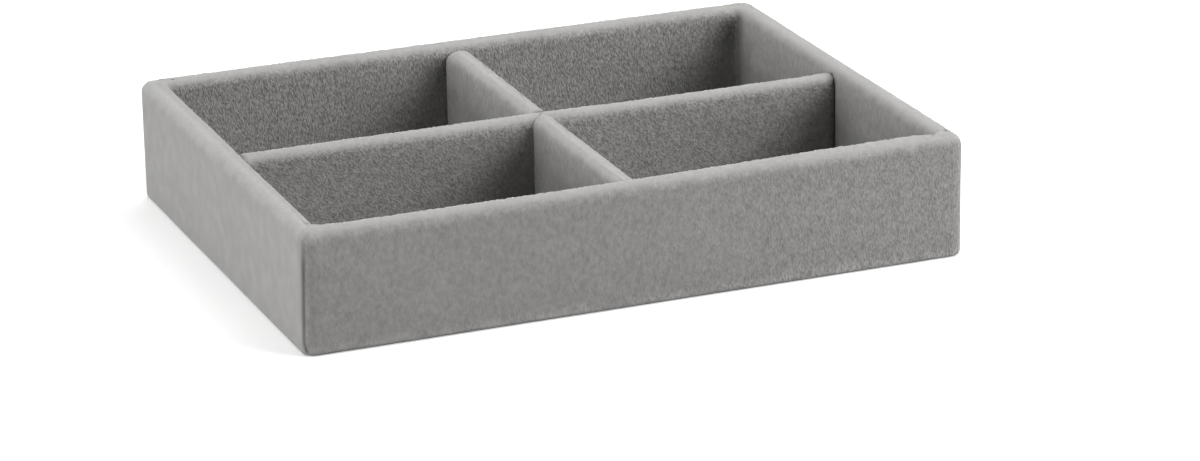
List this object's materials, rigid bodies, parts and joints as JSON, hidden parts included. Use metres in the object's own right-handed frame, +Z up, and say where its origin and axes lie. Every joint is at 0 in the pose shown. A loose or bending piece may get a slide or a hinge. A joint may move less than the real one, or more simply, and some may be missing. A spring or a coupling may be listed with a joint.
{
  "type": "jewelry tray",
  "caption": "Low rectangular velvet-covered tray, split by crossed dividers into equal open compartments for small jewelry.",
  "frame": {"origin": "middle of the underside, on the surface that the tray stands on", "axes": "+X to the right along the long front side, +Y to the back, +Z up out of the open compartments"},
  "size_m": [0.125, 0.095, 0.0229],
  "materials": {
    "case_velvet": "short soft pile",
    "divider_velvet": "short soft pile",
    "floor_velvet": "short soft pile",
    "underside_velvet": "short soft pile",
    "fibreboard": "sawn fibreboard",
    "card": "matte greyboard"
  },
  "bodies": {
    "root": {"base_board": "fibreboard", "front_wall_board": "fibreboard", "back_wall_board": "fibreboard", "left_wall_board": "fibreboard", "right_wall_board": "fibreboard", "wall_cover": "case_velvet", "bottom_sheet": "underside_velvet", "floor_card": "card", "floor_lining": "floor_velvet", "long_divider_board": "fibreboard", "long_divider_cover": "divider_velvet", "cross_divider_board": "fibreboard", "cross_divider_cover": "divider_velvet"}
  },
  "joints": []
}
